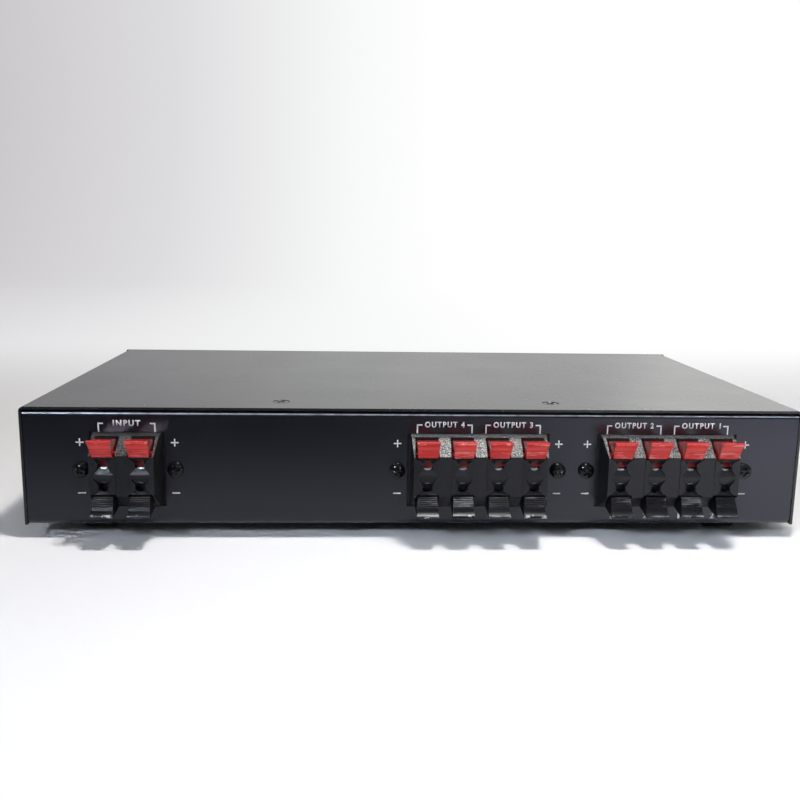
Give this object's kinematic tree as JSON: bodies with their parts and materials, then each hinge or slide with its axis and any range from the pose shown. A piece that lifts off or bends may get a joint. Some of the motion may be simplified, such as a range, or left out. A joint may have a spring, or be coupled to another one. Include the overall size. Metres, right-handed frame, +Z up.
{
  "type": "speaker selector switch",
  "caption": "Flat black sheet-metal case with sprung lever wire terminals at the rear and push buttons at the front, for sending an amplifier to chosen loudspeakers.",
  "frame": {"origin": "on the surface the feet stand on, below the middle of the whole part", "axes": "+X to the right seen from the front, +Y from the buttons at the front to the wire terminals at the rear, +Z up"},
  "size_m": [0.3, 0.1852, 0.0518],
  "materials": {
    "case_paint": "satin black paint",
    "panel_paint": "satin black paint with white printing",
    "fascia_paint": "satin black paint",
    "foot_rubber": "matt",
    "black_screw_steel": "black plated",
    "plated_screw_steel": "zinc plated",
    "terminal_plastic": "fine moulded texture",
    "insulating_board": "brown laminate",
    "contact_metal": "nickel plated",
    "red_lever_plastic": "moulded, slightly glossy",
    "black_lever_plastic": "moulded, slightly glossy",
    "circuit_board_laminate": "green solder mask",
    "support_nylon": "natural nylon",
    "switch_plastic": "moulded",
    "plunger_plastic": "moulded",
    "button_plastic": "moulded, satin",
    "resistor_ceramic": "fired ceramic",
    "wire_insulation": "flexible insulation"
  },
  "bodies": {
    "case": {"board_supports": "support_nylon", "chassis": "panel_paint", "circuit_board": "circuit_board_laminate", "cover_screws": "black_screw_steel", "fascia_screws": "plated_screw_steel", "foot_front_left": "foot_rubber", "foot_front_right": "foot_rubber", "foot_rear_left": "foot_rubber", "foot_rear_right": "foot_rubber", "front_fascia": "fascia_paint", "input_back_plate": "insulating_board", "input_contacts": "contact_metal", "input_terminal_block": "terminal_plastic", "output_a_back_plate": "insulating_board", "output_a_contacts": "contact_metal", "output_a_terminal_block": "terminal_plastic", "output_b_back_plate": "insulating_board", "output_b_contacts": "contact_metal", "output_b_terminal_block": "terminal_plastic", "power_resistors": "resistor_ceramic", "protection_switch": "switch_plastic", "speaker_1_switch": "switch_plastic", "speaker_2_switch": "switch_plastic", "speaker_3_switch": "switch_plastic", "speaker_4_switch": "switch_plastic", "terminal_screws": "black_screw_steel", "top_cover": "case_paint", "wiring_ribbons": "wire_insulation"},
    "input_black_lever_1": {"input_black_lever_1": "black_lever_plastic"},
    "input_black_lever_2": {"input_black_lever_2": "black_lever_plastic"},
    "input_red_lever_1": {"input_red_lever_1": "red_lever_plastic"},
    "input_red_lever_2": {"input_red_lever_2": "red_lever_plastic"},
    "output_a_black_lever_1": {"output_a_black_lever_1": "black_lever_plastic"},
    "output_a_black_lever_2": {"output_a_black_lever_2": "black_lever_plastic"},
    "output_a_black_lever_3": {"output_a_black_lever_3": "black_lever_plastic"},
    "output_a_black_lever_4": {"output_a_black_lever_4": "black_lever_plastic"},
    "output_a_red_lever_1": {"output_a_red_lever_1": "red_lever_plastic"},
    "output_a_red_lever_2": {"output_a_red_lever_2": "red_lever_plastic"},
    "output_a_red_lever_3": {"output_a_red_lever_3": "red_lever_plastic"},
    "output_a_red_lever_4": {"output_a_red_lever_4": "red_lever_plastic"},
    "output_b_black_lever_1": {"output_b_black_lever_1": "black_lever_plastic"},
    "output_b_black_lever_2": {"output_b_black_lever_2": "black_lever_plastic"},
    "output_b_black_lever_3": {"output_b_black_lever_3": "black_lever_plastic"},
    "output_b_black_lever_4": {"output_b_black_lever_4": "black_lever_plastic"},
    "output_b_red_lever_1": {"output_b_red_lever_1": "red_lever_plastic"},
    "output_b_red_lever_2": {"output_b_red_lever_2": "red_lever_plastic"},
    "output_b_red_lever_3": {"output_b_red_lever_3": "red_lever_plastic"},
    "output_b_red_lever_4": {"output_b_red_lever_4": "red_lever_plastic"},
    "speaker_1_push": {"speaker_1_button": "button_plastic", "speaker_1_plunger": "plunger_plastic"},
    "speaker_2_push": {"speaker_2_button": "button_plastic", "speaker_2_plunger": "plunger_plastic"},
    "speaker_3_push": {"speaker_3_button": "button_plastic", "speaker_3_plunger": "plunger_plastic"},
    "speaker_4_push": {"speaker_4_button": "button_plastic", "speaker_4_plunger": "plunger_plastic"},
    "protection_push": {"protection_button": "button_plastic", "protection_plunger": "plunger_plastic"}
  },
  "joints": [
    {"name": "input_black_lever_1_press", "type": "hinge", "parent": "case", "child": "input_black_lever_1", "pos_m": [0.10355, 0.08455, 0.0197], "axis": [-1, 0, 0], "range_deg": [0, 14], "stiffness_Nm_per_rad": 0.1, "springref_deg": -5.73},
    {"name": "input_black_lever_2_press", "type": "hinge", "parent": "case", "child": "input_black_lever_2", "pos_m": [0.11705, 0.08455, 0.0197], "axis": [-1, 0, 0], "range_deg": [0, 14], "stiffness_Nm_per_rad": 0.1, "springref_deg": -5.73},
    {"name": "input_red_lever_1_press", "type": "hinge", "parent": "case", "child": "input_red_lever_1", "pos_m": [0.10355, 0.08455, 0.0357], "axis": [1, 0, 0], "range_deg": [0, 14], "stiffness_Nm_per_rad": 0.1, "springref_deg": -5.73},
    {"name": "input_red_lever_2_press", "type": "hinge", "parent": "case", "child": "input_red_lever_2", "pos_m": [0.11705, 0.08455, 0.0357], "axis": [1, 0, 0], "range_deg": [0, 14], "stiffness_Nm_per_rad": 0.1, "springref_deg": -5.73},
    {"name": "output_a_black_lever_1_press", "type": "hinge", "parent": "case", "child": "output_a_black_lever_1", "pos_m": [-0.04355, 0.08455, 0.0197], "axis": [-1, 0, 0], "range_deg": [0, 14], "stiffness_Nm_per_rad": 0.1, "springref_deg": -5.73},
    {"name": "output_a_black_lever_2_press", "type": "hinge", "parent": "case", "child": "output_a_black_lever_2", "pos_m": [-0.03005, 0.08455, 0.0197], "axis": [-1, 0, 0], "range_deg": [0, 14], "stiffness_Nm_per_rad": 0.1, "springref_deg": -5.73},
    {"name": "output_a_black_lever_3_press", "type": "hinge", "parent": "case", "child": "output_a_black_lever_3", "pos_m": [-0.01655, 0.08455, 0.0197], "axis": [-1, 0, 0], "range_deg": [0, 14], "stiffness_Nm_per_rad": 0.1, "springref_deg": -5.73},
    {"name": "output_a_black_lever_4_press", "type": "hinge", "parent": "case", "child": "output_a_black_lever_4", "pos_m": [-0.00305, 0.08455, 0.0197], "axis": [-1, 0, 0], "range_deg": [0, 14], "stiffness_Nm_per_rad": 0.1, "springref_deg": -5.73},
    {"name": "output_a_red_lever_1_press", "type": "hinge", "parent": "case", "child": "output_a_red_lever_1", "pos_m": [-0.04355, 0.08455, 0.0357], "axis": [1, 0, 0], "range_deg": [0, 14], "stiffness_Nm_per_rad": 0.1, "springref_deg": -5.73},
    {"name": "output_a_red_lever_2_press", "type": "hinge", "parent": "case", "child": "output_a_red_lever_2", "pos_m": [-0.03005, 0.08455, 0.0357], "axis": [1, 0, 0], "range_deg": [0, 14], "stiffness_Nm_per_rad": 0.1, "springref_deg": -5.73},
    {"name": "output_a_red_lever_3_press", "type": "hinge", "parent": "case", "child": "output_a_red_lever_3", "pos_m": [-0.01655, 0.08455, 0.0357], "axis": [1, 0, 0], "range_deg": [0, 14], "stiffness_Nm_per_rad": 0.1, "springref_deg": -5.73},
    {"name": "output_a_red_lever_4_press", "type": "hinge", "parent": "case", "child": "output_a_red_lever_4", "pos_m": [-0.00305, 0.08455, 0.0357], "axis": [1, 0, 0], "range_deg": [0, 14], "stiffness_Nm_per_rad": 0.1, "springref_deg": -5.73},
    {"name": "output_b_black_lever_1_press", "type": "hinge", "parent": "case", "child": "output_b_black_lever_1", "pos_m": [-0.11725, 0.08455, 0.0197], "axis": [-1, 0, 0], "range_deg": [0, 14], "stiffness_Nm_per_rad": 0.1, "springref_deg": -5.73},
    {"name": "output_b_black_lever_2_press", "type": "hinge", "parent": "case", "child": "output_b_black_lever_2", "pos_m": [-0.10375, 0.08455, 0.0197], "axis": [-1, 0, 0], "range_deg": [0, 14], "stiffness_Nm_per_rad": 0.1, "springref_deg": -5.73},
    {"name": "output_b_black_lever_3_press", "type": "hinge", "parent": "case", "child": "output_b_black_lever_3", "pos_m": [-0.09025, 0.08455, 0.0197], "axis": [-1, 0, 0], "range_deg": [0, 14], "stiffness_Nm_per_rad": 0.1, "springref_deg": -5.73},
    {"name": "output_b_black_lever_4_press", "type": "hinge", "parent": "case", "child": "output_b_black_lever_4", "pos_m": [-0.07675, 0.08455, 0.0197], "axis": [-1, 0, 0], "range_deg": [0, 14], "stiffness_Nm_per_rad": 0.1, "springref_deg": -5.73},
    {"name": "output_b_red_lever_1_press", "type": "hinge", "parent": "case", "child": "output_b_red_lever_1", "pos_m": [-0.11725, 0.08455, 0.0357], "axis": [1, 0, 0], "range_deg": [0, 14], "stiffness_Nm_per_rad": 0.1, "springref_deg": -5.73},
    {"name": "output_b_red_lever_2_press", "type": "hinge", "parent": "case", "child": "output_b_red_lever_2", "pos_m": [-0.10375, 0.08455, 0.0357], "axis": [1, 0, 0], "range_deg": [0, 14], "stiffness_Nm_per_rad": 0.1, "springref_deg": -5.73},
    {"name": "output_b_red_lever_3_press", "type": "hinge", "parent": "case", "child": "output_b_red_lever_3", "pos_m": [-0.09025, 0.08455, 0.0357], "axis": [1, 0, 0], "range_deg": [0, 14], "stiffness_Nm_per_rad": 0.1, "springref_deg": -5.73},
    {"name": "output_b_red_lever_4_press", "type": "hinge", "parent": "case", "child": "output_b_red_lever_4", "pos_m": [-0.07675, 0.08455, 0.0357], "axis": [1, 0, 0], "range_deg": [0, 14], "stiffness_Nm_per_rad": 0.1, "springref_deg": -5.73},
    {"name": "speaker_1_push_in", "type": "slide", "parent": "case", "child": "speaker_1_push", "axis": [0, 1, 0], "range_m": [0, 0.003], "stiffness_N_per_m": 500, "springref_m": -0.001},
    {"name": "speaker_2_push_in", "type": "slide", "parent": "case", "child": "speaker_2_push", "axis": [0, 1, 0], "range_m": [0, 0.003], "stiffness_N_per_m": 500, "springref_m": -0.001},
    {"name": "speaker_3_push_in", "type": "slide", "parent": "case", "child": "speaker_3_push", "axis": [0, 1, 0], "range_m": [0, 0.003], "stiffness_N_per_m": 500, "springref_m": -0.001},
    {"name": "speaker_4_push_in", "type": "slide", "parent": "case", "child": "speaker_4_push", "axis": [0, 1, 0], "range_m": [0, 0.003], "stiffness_N_per_m": 500, "springref_m": -0.001},
    {"name": "protection_push_in", "type": "slide", "parent": "case", "child": "protection_push", "axis": [0, 1, 0], "range_m": [0, 0.003], "stiffness_N_per_m": 500, "springref_m": -0.001}
  ]
}
